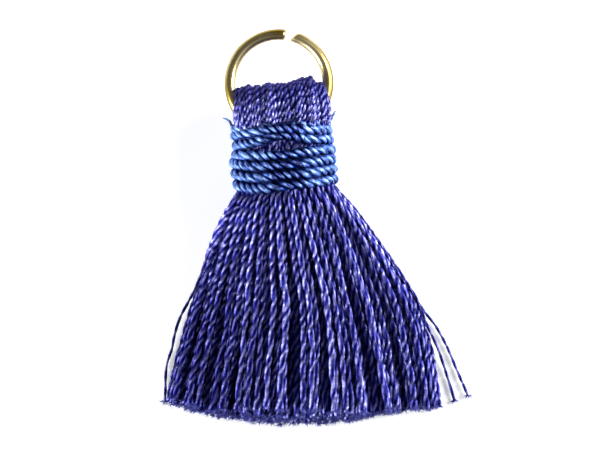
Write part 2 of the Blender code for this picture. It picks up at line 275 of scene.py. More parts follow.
def silkMaterial(name, look):
    # colour = mix(deep, light, tone + patch + line), where tone carries painted shade and light on some
    # pieces, times painted shade that darkens the flanks and creases; the creases also turn more metallic,
    # up to fully, so no diffuse light shows there; the shine lies across the filaments, because the
    # tangent is the way round the ply
    material, nodes, links = newMaterial(name)
    shader = nodes["Principled BSDF"]
    height, patch = fineSurface(nodes, links, shader, look)
    both = addMath(nodes, links, "MULTIPLY_ADD", patch, look["patchShare"], addAttribute(nodes, "tone"))
    line = addMath(nodes, links, "SUBTRACT", height, 0.5)
    lined = addMath(nodes, links, "MULTIPLY_ADD", line, look["lineShare"], both)
    dye = addRamp(nodes, links, lined, (0.0, look["deep"]), (1.0, look["light"]))
    # painted shade: the crease value darkens the flanks and creases of the plies
    crease = addAttribute(nodes, "crease")
    paintedCreaseShade = addRamp(nodes, links, crease, (0.0, (1.0, 1.0, 1.0)), (look["creaseTo"], look["creaseShadeColour"]),
                     (look["flankAt"], look["flankShadeColour"]))
    shaded = nodes.new("ShaderNodeMix")
    shaded.data_type = "RGBA"
    shaded.blend_type = "MULTIPLY"
    shaded.inputs["Factor"].default_value = 1.0
    links.new(dye, shaded.inputs[6])
    links.new(paintedCreaseShade, shaded.inputs[7])
    links.new(shaded.outputs[2], shader.inputs["Base Color"])
    # painted shade: the creases turn fully metallic, so their dark colour gives no diffuse light
    creaseMetallic = nodes.new("ShaderNodeMapRange")
    creaseMetallic.inputs["From Min"].default_value = look["flankAt"]
    creaseMetallic.inputs["From Max"].default_value = look["creaseTo"]
    creaseMetallic.inputs["To Min"].default_value = look["metallic"]
    links.new(crease, creaseMetallic.inputs["Value"])
    links.new(creaseMetallic.outputs["Result"], shader.inputs["Metallic"])
    shader.inputs["IOR"].default_value = look["ior"]
    shader.inputs["Specular IOR Level"].default_value = look["specular"]
    shader.inputs["Specular Tint"].default_value = (*look["specularTint"], 1.0)
    shader.inputs["Anisotropic"].default_value = look["anisotropy"]
    shader.inputs["Sheen Weight"].default_value = look["sheen"]
    shader.inputs["Sheen Roughness"].default_value = look["sheenRoughness"]
    shader.inputs["Sheen Tint"].default_value = (*look["sheenTint"], 1.0)
    tangent = nodes.new("ShaderNodeTangent")
    tangent.direction_type = "UV_MAP"
    tangent.uv_map = "UVMap"
    links.new(tangent.outputs["Tangent"], shader.inputs["Tangent"])
    return material


def wireMaterial(name, look):
    # polished plated wire: faint drawing lines along it, and a slow change between deep and pale gold,
    # with a painted highlight that makes the ring's inner side paler by its tone
    material, nodes, links = newMaterial(name)
    shader = nodes["Principled BSDF"]
    height, patch = fineSurface(nodes, links, shader, look)
    both = addMath(nodes, links, "MULTIPLY_ADD", addAttribute(nodes, "tone"), look["innerHighlightShare"], patch)
    gold = addRamp(nodes, links, both, (0.3, look["deep"]), (0.7, look["pale"]))
    links.new(gold, shader.inputs["Base Color"])
    shader.inputs["Metallic"].default_value = 1.0
    shader.inputs["Specular Tint"].default_value = (*look["rim"], 1.0)
    return material


# painted shade: in each look, the flank and crease colours darken the plies' flanks and creases
yarnLook = {
    "deep": (0.080, 0.080, 0.290), "light": (0.400, 0.400, 0.860),
    "filaments": 16.0, "fleckLength": 0.45, "lineShare": 1.6, "patchLength": 0.55, "patchShare": 2.4,
    "flankAt": 0.34, "flankShadeColour": (0.26, 0.26, 0.54),
    "creaseTo": 0.85, "creaseShadeColour": (0.006, 0.014, 0.22),
    "metallic": 0.85, "smoothest": 0.31, "roughest": 0.60, "bump": 1.0, "bumpDepth": 0.08,
    "ior": 1.5, "specular": 0.2, "specularTint": (0.60, 0.60, 1.0), "anisotropy": 0.55,
    "sheen": 0.0, "sheenRoughness": 0.4, "sheenTint": (0.45, 0.45, 1.0),
}
cordLook = {
    "deep": (0.045, 0.060, 0.230), "light": (0.330, 0.520, 0.960),
    "filaments": 20.0, "fleckLength": 0.30, "lineShare": 3.0, "patchLength": 0.7, "patchShare": 3.0,
    "flankAt": 0.36, "flankShadeColour": (0.46, 0.54, 0.78),
    "creaseTo": 0.66, "creaseShadeColour": (0.008, 0.040, 0.240),
    "metallic": 0.75, "smoothest": 0.28, "roughest": 0.62, "bump": 1.0, "bumpDepth": 0.12,
    "ior": 1.5, "specular": 0.2, "specularTint": (0.60, 0.85, 1.0), "anisotropy": 0.10,
    "sheen": 0.3, "sheenRoughness": 0.35, "sheenTint": (0.16, 0.32, 1.0),
}
# the cut ends: the same yarn, opened out and dull
frayLook = {
    **yarnLook, "deep": (0.045, 0.050, 0.230), "light": (0.100, 0.110, 0.420), "metallic": 0.0,
    "smoothest": 0.70, "roughest": 0.90, "bump": 0.2, "specular": 0.05,
}
# painted highlight: the wire look's inner share makes the ring's inner side paler
wireLook = {
    "deep": (0.33, 0.23, 0.045), "pale": (0.96, 0.81, 0.46), "innerHighlightShare": 0.17,
    "filaments": 40.0, "fleckLength": 6.0, "patchLength": 5.0, "smoothest": 0.24, "roughest": 0.40,
    "bump": 0.15, "bumpDepth": 0.01, "rim": (0.30, 0.24, 0.08),
}
yarnSilk = silkMaterial("yarnSilk", yarnLook)
fraySilk = silkMaterial("fraySilk", frayLook)
cordSilk = silkMaterial("cordSilk", cordLook)
goldWire = wireMaterial("goldWire", wireLook)
print("materials made")


# the skirt's form at nine heights from the neck down, then how its strands are placed, cut and
# given painted shade and light; names ending in Y, X and Rank are the two ends of a smooth change
skirt = {
    "y":         (-1.4, -2.1, -2.7, -3.3, -4.2, -6.5, -11.0, -14.5, -18.3),
    "halfWidth": (2.80, 3.22, 4.05, 4.65, 5.22, 6.58, 8.75, 9.85, 10.55),
    "halfDepth": (1.66, 1.90, 2.20, 2.30, 2.35, 2.10, 1.70, 1.50, 1.35),
    "middle":    (2.80, 2.80, 2.78, 2.70, 2.55, 2.08, 1.50, 1.25, 1.10),
    "lean":      (0.00, 0.00, 0.00, 0.02, 0.10, 0.30, 0.62, 0.42, 0.05),
    "sink":      (0.00, 0.00, 0.00, 0.10, 0.30, 0.70, 1.00, 1.00, 1.00),
    "combed":    (0.00, 0.00, 0.02, 0.08, 0.22, 0.60, 1.15, 1.10, 0.85),
    "strands": 190, "latticeOffset": (0.8, 0.3), "latticeReach": 40, "floor": 0.235,
    "spacing": 0.405, "spacingRounds": 40, "closest": 0.39, "closestRounds": 8, "pushShare": 0.4,
    "levels": 64, "pastCut": 2.0, "tableSoftness": 1.2, "levelSoftness": 1.3, "rings": 168,
    "combFrom": 0.05, "combWidth": 0.98, "settleY": (-3.0, -11.0), "carpetY": (-3.5, -8.5),
    "ridgeFrom": 0.72, "ridgeWaves": (0.21, 0.134), "ridgePull": (0.022, 0.016), "ridgeWander": 0.6,
    "valleyDepth": 0.28, "valleyRank": (-0.3, 0.4), "wander": 0.14, "wanderY": (-2.0, -9.0),
    "wanderWaves": (0.25, 0.3), "wanderRise": 0.5, "ridgeRise": 0.3, "ripple": 0.045,
    "rippleWave": 1.7, "carpetBelow": -0.12, "carpetStep": 0.38,
    "carpetWidth": 0.985, "cutY": -18.27, "cutSlope": -0.101, "cutArc": 0.0045, "cutJitter": 0.07,
    "underLonger": 1.28, "underSlope": 0.051, "underArc": 0.0136, "leastLonger": 0.12,
    "frontStrands": 76, "splitX": 0.3, "splitRing": 100, "tones": (-1.12, -0.27), "strayTone": -1.4,
    # painted shade at the left and right sides, a painted shadow just under the binding, and painted light
    # that lifts the under strands, which lie in shade
    "leftShade": 0.68, "leftX": (-1.0, -8.0), "rightShade": 0.20, "rightX": (3.0, 8.0),
    "sideY": (-2.5, -10.0), "topShadow": 0.50, "topY": (-3.9, -2.3), "underPaintedLight": 0.5,
    "liftY": (-7.0, -12.0),
}
# threads that stand off the skirt: side, place from the outside, and how far they bow and reach
strays = (
    {"side": -1, "rank": 0, "leavesY": -8.8, "bow": 0.55, "reach": 0.10, "tipY": -17.1},
    {"side": 1, "rank": 0, "leavesY": -9.5, "bow": 0.00, "reach": 1.85, "tipY": -18.3},
    {"side": 1, "rank": 1, "leavesY": -12.5, "bow": 0.10, "reach": 0.95, "tipY": -18.6},
)
thread = {
    "plyRadius": 0.143, "plyOffset": 0.088, "pitch": 1.85, "pitchSpread": 0.20,
    "unevenTwist": 0.45, "unevenLength": 3.4, "secondShare": 0.6, "secondWave": 2.3,
    "thicknessSpread": 0.07, "strayThickness": 0.55, "slackening": 0.55, "slackHeight": (0.5, 0.9),
    "swell": 0.15, "swellLength": 0.5, "taper": 0.25, "taperLength": 0.06,
}


def latticeRoots():
    # places a + b g of the golden ratio g, paired with its mirror number: evenly apart at any stretch
    golden = (1.0 + math.sqrt(5.0)) / 2.0
    step = math.sqrt(math.pi / (skirt["strands"] * math.sqrt(5.0)))
    steps = np.arange(-skirt["latticeReach"], skirt["latticeReach"] + 1)
    a, b = np.meshgrid(steps, steps, indexing="ij")
    offX, offZ = skirt["latticeOffset"]
    spots = step * np.stack([a + b * golden + offX, a + b * (1.0 - golden) + offZ], -1).reshape(-1, 2)
    spots = spots[np.hypot(spots[:, 0], spots[:, 1]) <= 1.0]
    return spots / np.hypot(spots[:, 0], spots[:, 1]).max()


def keepApart(spots, spacing, floor, rounds, give):
    # every pair closer than the spacing is pushed apart along its own line, as far as each one gives
    for _ in range(rounds):
        between = spots[:, None] - spots[None]
        distance = np.linalg.norm(between, axis=2)
        np.fill_diagonal(distance, spacing)
        push = np.clip(spacing - distance, 0.0, None) * skirt["pushShare"] / distance
        spots = spots + (between * push[..., None]).sum(axis=1) * give[:, None]
        spots[:, 1] = np.maximum(spots[:, 1], floor)
    return spots


def skirtLevels():
    # at each level x = lean + W u, less the combing of the right side towards the middle, and
    # z = middle + D v, less the rim's sinking; further down, the uppermost strands stay up as ridges,
    # pulled together in x by two sines, the next ones lie lower, and the lowest spread as an even
    # carpet of two rows on the table
    roots = latticeRoots()
    u, v = roots[:, 0], roots[:, 1]
    levelY = np.linspace(skirt["y"][0], skirt["cutY"] - skirt["pastCut"], skirt["levels"])
    tableY = -np.array(skirt["y"])
    column = {name: smoothRows(np.interp(-levelY, tableY, skirt[name]), skirt["tableSoftness"])
              for name in ("halfWidth", "halfDepth", "middle", "lean", "sink", "combed")}
    down = smoothStep(*skirt["settleY"], levelY)
    spread = smoothStep(*skirt["carpetY"], levelY)
    phase = dice.uniform(0.0, 2.0 * math.pi, (2, 3, len(roots)))
    rank = v / np.sqrt(np.maximum(1.0 - u ** 2, 0.05))
    isRidge = rank > skirt["ridgeFrom"]
    isCarpet = rank < skirt["carpetBelow"]
    combing = np.sin(math.pi * np.clip((u - skirt["combFrom"]) / skirt["combWidth"], 0.0, 1.0)) ** 2
    order = np.zeros(len(roots))
    order[isCarpet] = np.argsort(np.argsort(u[isCarpet]))
    evenU = np.where(isCarpet, skirt["carpetWidth"] * (2.0 * (order + 0.5) / isCarpet.sum() - 1.0), u)
    carpetZ = skirt["floor"] + skirt["carpetStep"] * (order % 2)
    lowered = np.where(isRidge, 0.0, skirt["valleyDepth"] * smoothStep(*skirt["valleyRank"], rank))
    pull = sum(share * np.sin(2.0 * math.pi * u / wave + dice.uniform(0.0, 2.0 * math.pi))
               for wave, share in zip(skirt["ridgeWaves"], skirt["ridgePull"]))
    first, step = skirt["wanderWaves"]
    levels = []
    for level, y in enumerate(levelY):
        wobble = [sum(np.sin((first + step * wave) * y + phase[axis, wave]) / (1.0 + wave)
                      for wave in range(3)) for axis in range(2)]
        drift = (skirt["wander"] * smoothStep(*skirt["wanderY"], y)
                 * np.where(isRidge, skirt["ridgeWander"], 1.0))
        sunk = (column["middle"][level] - skirt["floor"]) * column["sink"][level] * u ** 2
        spots = np.stack([column["lean"][level] + column["halfWidth"][level] * u
                          - column["combed"][level] * combing,
                          column["middle"][level] + column["halfDepth"][level] * v - sunk], axis=1)
        spots = keepApart(spots, skirt["spacing"], skirt["floor"], skirt["spacingRounds"],
                          np.ones(len(u)))
        spots[:, 0] += column["halfWidth"][level] * pull * down[level] + drift * wobble[0]
        spots[:, 1] *= 1.0 - lowered * down[level]
        spots[:, 1] += (skirt["wanderRise"] * drift * wobble[1]
                        * np.where(isRidge, skirt["ridgeRise"], 1.0))
        spots[:, 0] += skirt["ripple"] * down[level] * np.sin(skirt["rippleWave"] * y + 3.0 * phase[0, 2])
        even = np.stack([column["lean"][level] + column["halfWidth"][level] * evenU, carpetZ], axis=1)
        laid = np.where(isCarpet, spread[level], 0.0)[:, None]
        spots = spots + (even - spots) * laid
        levels.append(keepApart(spots, skirt["closest"], skirt["floor"], skirt["closestRounds"],
                                1.0 - laid[:, 0]))
    return levelY, smoothRows(np.array(levels), skirt["levelSoftness"])


def skirtPaths(rings):
    # each strand is read from the levels at its own even steps of y, from the neck to its cut end
    levelY, levels = skirtLevels()
    last = np.argmin(np.abs(levelY - skirt["cutY"]))
    tipX, tipZ = levels[last, :, 0], levels[last, :, 1]
    height = np.clip(tipZ / tipZ.max(), 0.0, 1.0)
    tipY = (skirt["cutY"] + skirt["cutSlope"] * tipX + skirt["cutArc"] * tipX ** 2
            - np.clip(skirt["underLonger"] - skirt["underSlope"] * tipX - skirt["underArc"] * tipX ** 2,
                      skirt["leastLonger"], None) * (1.0 - height)
            + dice.normal(0.0, skirt["cutJitter"], len(tipX)))
    offsets = np.zeros_like(levels)
    isStray = np.zeros(len(tipX), bool)
    for stray in strays:
        strand = np.argsort(-stray["side"] * levels[last, :, 0])[stray["rank"]]
        tipY[strand] = stray["tipY"]
        isStray[strand] = True
        share = np.clip((stray["leavesY"] - levelY) / (stray["leavesY"] - stray["tipY"]), 0.0, 1.0)
        offsets[:, strand, 0] = stray["side"] * (stray["bow"] * np.sin(math.pi * share)
                                                 + stray["reach"] * share ** 1.4)
        offsets[:, strand, 1] = (skirt["floor"] - levels[:, strand, 1]) * smoothStep(0.0, 0.8, share)
    levels = levels + offsets
    share = np.linspace(0.0, 1.0, rings)
    y = skirt["y"][0] + (tipY[:, None] - skirt["y"][0]) * share
    index = np.clip((levelY[0] - y) / (levelY[0] - levelY[-1]) * (len(levelY) - 1), 0, len(levelY) - 1.001)
    low = index.astype(int)
    part = (index - low)[..., None]
    strand = np.arange(len(tipX))[:, None]
    spots = levels[low, strand] * (1.0 - part) + levels[low + 1, strand] * part
    return np.stack([spots[..., 0], y, spots[..., 1]], axis=2), height, isStray


def twistAngles(paths, pitch, slack):
    # a turn for each pitch of length, right-handed, from a chance start, now tighter and now slacker,
    # and slowing by the share slack towards the end
    start, first, second = dice.uniform(0.0, 2.0 * math.pi, (3, len(paths), 1))
    distance = lengthAlong(paths)
    share = distance / distance[:, -1:]
    wave = 2.0 * math.pi * distance / thread["unevenLength"]
    uneven = np.sin(wave + first) + thread["secondShare"] * np.sin(thread["secondWave"] * wave + second)
    eased = distance * (1.0 - slack[:, None] * share ** 2 / 3.0)
    return start + 2.0 * math.pi * eased / pitch[:, None] + thread["unevenTwist"] * uneven


def buildSkirt():
    # two-ply tubes in three pieces: the front threads left and right, and the ones under them with
    # half the rings; tone = chance + painted light on the under strands - painted shade, darker at both
    # sides and under the binding, where it is a painted shadow, and a thread swells a little at its cut
    # end
    finePaths, height, isStray = skirtPaths(skirt["rings"])
    count = len(finePaths)
    pitch = thread["pitch"] * (1.0 + thread["pitchSpread"] * dice.uniform(-1.0, 1.0, count))
    tone = dice.uniform(*skirt["tones"], count)
    tone[isStray] = skirt["strayTone"]
    slack = thread["slackening"] * (0.5 + 0.5 * smoothStep(*thread["slackHeight"], height))
    turns = twistAngles(finePaths, pitch, slack)
    thickness = 1.0 + thread["thicknessSpread"] * dice.uniform(-1.0, 1.0, count)
    thickness[isStray] = thread["strayThickness"]
    front = np.argsort(-height)[:skirt["frontStrands"]]
    isFront = np.isin(np.arange(count), front)
    isLeft = finePaths[:, skirt["splitRing"], 0] < skirt["splitX"]
    # name, strands, every how many rings, points round a ply, painted light
    groups = (("skirtFrontLeft", isFront & isLeft, 1, 7, 0.0),
              ("skirtFrontRight", isFront & ~isLeft, 1, 7, 0.0),
              ("skirtUnder", ~isFront, 2, 5, skirt["underPaintedLight"]))
    for name, chosen, stride, steps, paintedLift in groups:
        rings = np.arange(0, skirt["rings"], stride)
        rings[-1] = skirt["rings"] - 1
        profile = plyProfile(2, thread["plyRadius"], thread["plyOffset"], steps)
        paths = finePaths[chosen][:, rings]
        turn = turns[chosen][:, rings]
        left = lengthAlong(paths)[:, -1:] - lengthAlong(paths)
        scale = (1.0 + thread["swell"] * np.exp(-left / thread["swellLength"])
                 - thread["taper"] * np.exp(-left / thread["taperLength"]))
        x, y = paths[..., 0], paths[..., 1]
        # painted shade at both sides, painted shadow under the binding and painted light on the under
        # strands
        aside = (skirt["leftShade"] * smoothStep(*skirt["leftX"], x)
                 + skirt["rightShade"] * smoothStep(*skirt["rightX"], x))
        shade = aside * smoothStep(*skirt["sideY"], y) + skirt["topShadow"] * smoothStep(*skirt["topY"], y)
        underLight = paintedLift * (1.0 - smoothStep(*skirt["liftY"], y))
        piece = putTubes(name, paths, (1.0, 0.0, 0.0), profile, turn, scale * thickness[chosen][:, None],
                         tone[chosen][:, None] + underLight - shade)
        dress(piece, yarnSilk, "yarn", "yarn_bundle")
    return finePaths, tone


strandPaths, strandTone = buildSkirt()


fray = {
    "perTip": 18, "radius": 0.036, "length": (0.20, 0.50), "splay": 0.34, "spread": 0.12,
    "spreadShape": (1.0, 0.3, 0.8), "sideShape": (0.4, 0.4, 1.0), "sunk": 0.2,
    "curl": (0.2, 1.0), "mostCurl": 2.2, "thinning": 0.5, "toneShare": 0.4, "tone": -0.1,
    "floor": 0.04, "sides": 3, "rings": 6,
}


def buildFray():
    # the cut ends open out and curl: p = tip + L (d sin qt + s (1 - cos qt)) / q, an arc that starts
    # along the strand's own direction d and turns by q towards a chance side s
    tips = strandPaths[:, -1]
    along = unit(strandPaths[:, -1] - strandPaths[:, -4])
    count = len(tips) * fray["perTip"]
    origin = np.repeat(tips, fray["perTip"], axis=0)
    spread = dice.normal(0.0, 1.0, (count, 3)) * fray["spreadShape"]
    way = unit(np.repeat(along, fray["perTip"], axis=0) + fray["splay"] * spread)
    start = origin + spread * fray["spread"] * (1.0, 0.0, 1.0) - way * fray["sunk"]
    side = unit(np.cross(way, unit(dice.normal(0.0, 1.0, (count, 3)) * fray["sideShape"])))
    length = dice.uniform(*fray["length"], count)[:, None, None]
    turn = dice.uniform(*fray["curl"], count)[:, None, None] * fray["mostCurl"]
    t = np.linspace(0.0, 1.0, fray["rings"])[None, :, None]
    paths = start[:, None] + length * (way[:, None] * np.sin(turn * t)
                                       + side[:, None] * (1.0 - np.cos(turn * t))) / turn
    paths[..., 2] = np.maximum(paths[..., 2], fray["floor"])
    scale = np.broadcast_to(1.0 - fray["thinning"] * t[..., 0], (count, fray["rings"]))
    tone = fray["toneShare"] * np.repeat(strandTone, fray["perTip"]) + fray["tone"]
    piece = putTubes("tipFilaments", paths, (1.0, 0.0, 0.0), roundProfile(fray["radius"], fray["sides"]),
                     np.zeros((count, fray["rings"])), scale, tone)
    dress(piece, fraySilk, "yarn", "yarn_bundle")


buildFray()


head = {
    "neckY": 0.0, "neckHalfWidth": 2.68, "neckHalfDepth": 1.62, "bulgeY": 3.6, "halfWidth": 3.44,
    "halfDepth": 2.30, "power": 2.6, "foldY": 5.60, "foldHalfWidth": 3.06, "bumpX": 1.75,
    "bumpHeight": 0.30, "bumpWidth": 0.75, "cornerDrop": 0.34, "fan": 0.32,
    "wander": 0.06, "wanderWaves": (5.0, 6.0),
    "thickness": 0.93, "slantWaves": (0.71, 0.31), "slants": (0.09, 0.04), "pitch": 1.22,
    "foldJitter": 0.03, "foldPower": 2.7, "foldShade": 1.60, "foldShare": 0.52, "frontReach": 0.47,
    "shapeReach": 0.985, "inward": 0.6, "tones": (-1.04, -0.56),
}
# loops lie over each other from the outside in: how many, how deep, how far each strays sideways,
# the rings along it and the points round one ply
shells = (
    {"count": 6, "depth": -0.10, "jitter": 0.42, "rings": 96, "steps": 7},
    {"count": 30, "depth": 0.00, "jitter": 0.05, "rings": 96, "steps": 7},
    {"count": 29, "depth": 0.16, "jitter": 0.07, "rings": 60, "steps": 5},
    {"count": 27, "depth": 0.42, "jitter": 0.05, "rings": 60, "steps": 5},
    {"count": 24, "depth": 0.68, "jitter": 0.05, "rings": 60, "steps": 5},
)
# the filling inside the neck, hidden but for chinks between the turns
core = {
    "fromY": -2.6, "toY": 4.0, "rings": 40, "sides": 48, "halfWidth": 2.75, "halfDepth": 1.75,
    "middleY": 0.7, "halfLength": 3.35, "power": 6, "least": 0.02, "tone": -0.7,
}


def loopStarts(count):
    # places across the head an equal step apart along its outline (sin a, cos a) to the power 2 / p
    angle = np.linspace(-head["frontReach"] * math.pi, head["frontReach"] * math.pi, 400)
    power = 2.0 / head["power"]
    x = head["halfWidth"] * np.sign(angle) * np.abs(np.sin(angle)) ** power
    z = head["halfDepth"] * np.cos(angle) ** power
    run = np.concatenate([[0.0], np.cumsum(np.hypot(np.diff(x), np.diff(z)))])
    middles = (np.arange(count) + 0.5) / count
    return np.interp(middles * run[-1], run, x / head["halfWidth"])


def loopPaths(count, depth, jitter, rings):
    # up the front from the neck, over the ring in half a rounded square, and down the back; share
    # runs from -1 to 1, rise is 1 at the neck and 0 at the bulge, and angle is -90 degrees at the
    # front bulge, 0 at the fold and 90 at the back
    foldShare = head["foldShare"]
    share = np.linspace(-1.0, 1.0, rings)
    u = loopStarts(count)[:, None] + np.zeros(rings)
    rise = np.clip((np.abs(share) - foldShare) / (1.0 - foldShare), 0.0, 1.0)
    angle = np.clip(share / foldShare, -1.0, 1.0) * 0.5 * math.pi
    square = 2.0 / head["foldPower"]
    fold = np.abs(np.cos(angle)) ** square
    depthShare = np.sign(angle) * np.abs(np.sin(angle)) ** square
    bumped = head["bumpHeight"] * np.exp(-((u * head["foldHalfWidth"] - head["bumpX"])
                                           / head["bumpWidth"]) ** 2)
    top = head["foldY"] + bumped - head["cornerDrop"] * np.abs(u) ** 5 - depth
    y = head["bulgeY"] + (top - head["bulgeY"]) * fold - (head["bulgeY"] - head["neckY"]) * rise
    shape = (1.0 - np.abs(u * head["shapeReach"]) ** head["power"]) ** (1.0 / head["power"])
    deep = head["halfDepth"] - depth + (head["neckHalfDepth"] - head["halfDepth"]) * smoothStep(0, 1, rise)
    z = neckZ - deep * shape * depthShare
    wide = (head["halfWidth"] - head["inward"] * depth
            + (head["foldHalfWidth"] - head["halfWidth"]) * fold ** 1.5
            + (head["neckHalfWidth"] - head["halfWidth"]) * smoothStep(0, 1, rise))
    waves = sum(size * np.sin(2.0 * math.pi * u / wave + dice.uniform(0.0, 2.0 * math.pi))
                for wave, size in zip(head["slantWaves"], head["slants"]))
    slant = waves + head["fan"] * u * (1.0 - np.abs(u) ** 3)
    slant = slant + dice.normal(0.0, jitter, count)[:, None] * (1.0 - u ** 2)
    slant = slant * np.cos(0.5 * math.pi * share)
    phase = dice.uniform(0.0, 2.0 * math.pi, (2, count, 1))
    waveX, waveZ = head["wanderWaves"]
    x = wide * u + slant + head["wander"] * np.sin(waveX * share + phase[0])
    z = z + head["wander"] * np.sin(waveZ * share + phase[1]) * depthShare
    y = y + dice.normal(0.0, head["foldJitter"], count)[:, None] * fold
    return np.stack([x, y, z], axis=2)


def buildHead():
    # a piece for each shell of loops, its tone darkened towards the fold as painted shade, and the neck's
    # filling, an ellipse drawn in to both ends by sqrt(1 - |t|^6)
    for number, shell in enumerate(shells):
        count = shell["count"]
        share = np.linspace(-1.0, 1.0, shell["rings"])
        # painted shade: the tone darkens by this share towards the fold at the top
        fold = np.cos(0.5 * math.pi * np.clip(share / head["foldShare"], -1.0, 1.0)) ** 2
        paths = loopPaths(count, shell["depth"], shell["jitter"], shell["rings"])
        pitch = head["pitch"] * (1.0 + thread["pitchSpread"] * dice.uniform(-1.0, 1.0, count))
        profile = plyProfile(2, thread["plyRadius"], thread["plyOffset"], shell["steps"])
        piece = putTubes("headLoops%d" % number, paths, (1.0, 0.0, 0.0), profile,
                         twistAngles(paths, pitch, np.zeros(count)),
                         np.full(paths.shape[:2], head["thickness"]),
                         dice.uniform(*head["tones"], (count, 1)) - head["foldShade"] * fold)
        dress(piece, yarnSilk, "yarn", "yarn_bundle")
    rings = core["rings"]
    y = np.linspace(core["fromY"], core["toY"], rings)
    path = np.stack([np.zeros(rings), y, np.full(rings, neckZ)], axis=1)[None]
    outline = roundProfile(1.0, core["sides"]) * (core["halfWidth"], core["halfDepth"])
    away = np.abs((y - core["middleY"]) / core["halfLength"])
    size = np.sqrt(np.clip(1.0 - away ** core["power"], core["least"], 1.0))[None]
    piece = putTubes("neckCore", path, (1.0, 0.0, 0.0), outline, np.zeros((1, rings)), size,
                     np.array([core["tone"]]))
    dress(piece, yarnSilk, "yarn", "yarn_bundle")


buildHead()


# the binding's painted shade: darkest tone over the front's middle, lighter tone and less crease shade
# towards both sides
binding = {
    "middleX": -0.07, "halfDepth": 2.42, "plyRadius": 0.196, "plyOffset": 0.208,
    "twistPitch": 2.02, "plies": 3, "ringsPerTurn": 220, "softness": 7.0, "floor": 0.445,
    "unevenTwist": 0.60, "twistWaves": (0.83, 1.91), "unevenThickness": 0.09,
    "thicknessWaves": (1.37, 0.61), "wander": 0.080, "wanderWaves": (7.3, 11.9), "darkX": 0.10,
    "middleShadeTone": -1.45, "sideLightTone": -0.85, "sideLessCreaseShade": 0.38,
}
# height of the cord's middle at five places round the front of each turn, how far out it lies at the
# left, the front and the right, and its reach from the middle to the side
windings = (
    {"heights": (2.62, 2.66, 2.52, 2.66, 2.45), "out": (0.00, -0.20, -0.05), "halfWidth": 3.36},
    {"heights": (2.12, 2.14, 2.44, 2.14, 1.95), "out": (0.06, 0.26, 0.04), "halfWidth": 3.34},
    {"heights": (1.42, 1.42, 2.12, 1.40, 1.30), "out": (0.02, -0.04, 0.06), "halfWidth": 3.34},
    {"heights": (0.72, 0.58, 0.50, 0.60, 0.66), "out": (-0.02, -0.04, 0.00), "halfWidth": 3.48},
    {"heights": (0.15, -0.30, -0.27, -0.26, -0.02), "out": (0.08, 0.02, -0.03), "halfWidth": 3.54},
    {"heights": (-0.62, -1.12, -1.04, -1.06, -0.78), "out": (0.04, 0.05, 0.02), "halfWidth": 3.54},
    {"heights": (-1.40, -1.88, -1.76, -1.78, -1.54), "out": (0.00, -0.05, 0.04), "halfWidth": 3.50},
)
# the five places as shares of a turn: left side, left front, middle, right front, right side
windingPlaces = (0.0, 0.14, 0.25, 0.345, 0.5)


def windingPaths():
    # one long helix (-W cos a, y, middle + D sin a); y, W and D are read from the turns' own values
    # and softened, so that one turn runs into the next behind the neck
    turn = np.linspace(0.0, len(windings) - 0.25, binding["ringsPerTurn"] * len(windings))
    places = [row + place for row in range(len(windings)) for place in windingPlaces]
    heights = [height for row in windings for height in row["heights"]]
    y = np.interp(turn, places, heights)
    sides = [row + place for row in range(len(windings)) for place in (0.0, 0.25, 0.5)]
    out = np.interp(turn, sides, [value for row in windings for value in row["out"]])
    wide = np.interp(turn, np.arange(len(windings)) + 0.25, [row["halfWidth"] for row in windings])
    y, out, wide = smoothRows(np.stack([y, out, wide], axis=1), binding["softness"]).T
    angle = 2.0 * math.pi * turn
    x = binding["middleX"] - (wide + out) * np.cos(angle)
    slow, quick = binding["wanderWaves"]
    y = y + binding["wander"] * np.sin(slow * turn) * np.sin(quick * turn + 0.6)
    z = np.maximum(neckZ + (binding["halfDepth"] + out) * np.sin(angle), binding["floor"])
    return np.stack([x, y, z], axis=1)[None]


def buildBinding():
    # one three-ply cord along the windings, unevenly twisted and thick; painted shade makes its tone
    # darkest over the front's middle, and the painted crease shade is lighter towards both sides
    profile = plyProfile(binding["plies"], binding["plyRadius"], binding["plyOffset"], 7)
    paths = windingPaths()
    distance = lengthAlong(paths)
    turn = 2.0 * math.pi * distance / binding["twistPitch"]
    slow, quick = binding["twistWaves"]
    turn += binding["unevenTwist"] * (np.sin(slow * distance) + 0.7 * np.sin(quick * distance + 1.0))
    quick, slow = binding["thicknessWaves"]
    uneven = np.sin(quick * distance + 0.4) * np.sin(slow * distance)
    scale = 1.0 + binding["unevenThickness"] * uneven
    # painted shade over the front's middle, lighter and with less painted crease shade towards the sides
    aside = smoothStep(0.5, 1.8, np.abs(paths[:, :, 0] - binding["darkX"]))
    tone = binding["middleShadeTone"] + (binding["sideLightTone"] - binding["middleShadeTone"]) * aside
    piece = putTubes("windingCord", paths, (0.0, 1.0, 0.0), profile, turn, scale, tone,
                     np.array([0.0, 1.0, 0.0]), binding["sideLessCreaseShade"] * aside)
    dress(piece, cordSilk, "binding_cord", "binding")


buildBinding()


looseEnd = {
    "rings": 40, "softness": 3.0, "thinning": 0.75, "pitch": 1.1, "plyShare": 0.52, "offsetShare": 0.46,
    "steps": 5, "tone": -0.4,
}
looseEnds = (
    {"points": ((-3.40, 2.20, 3.0), (-3.66, 2.75, 2.9), (-3.78, 3.20, 2.8), (-4.05, 3.42, 2.7),
                (-4.34, 3.50, 2.6)), "radius": 0.15},
    {"points": ((3.30, 2.30, 3.2), (3.52, 2.66, 3.1), (3.72, 3.02, 3.0), (3.90, 3.28, 2.9),
                (4.02, 3.46, 2.8)), "radius": 0.17},
)


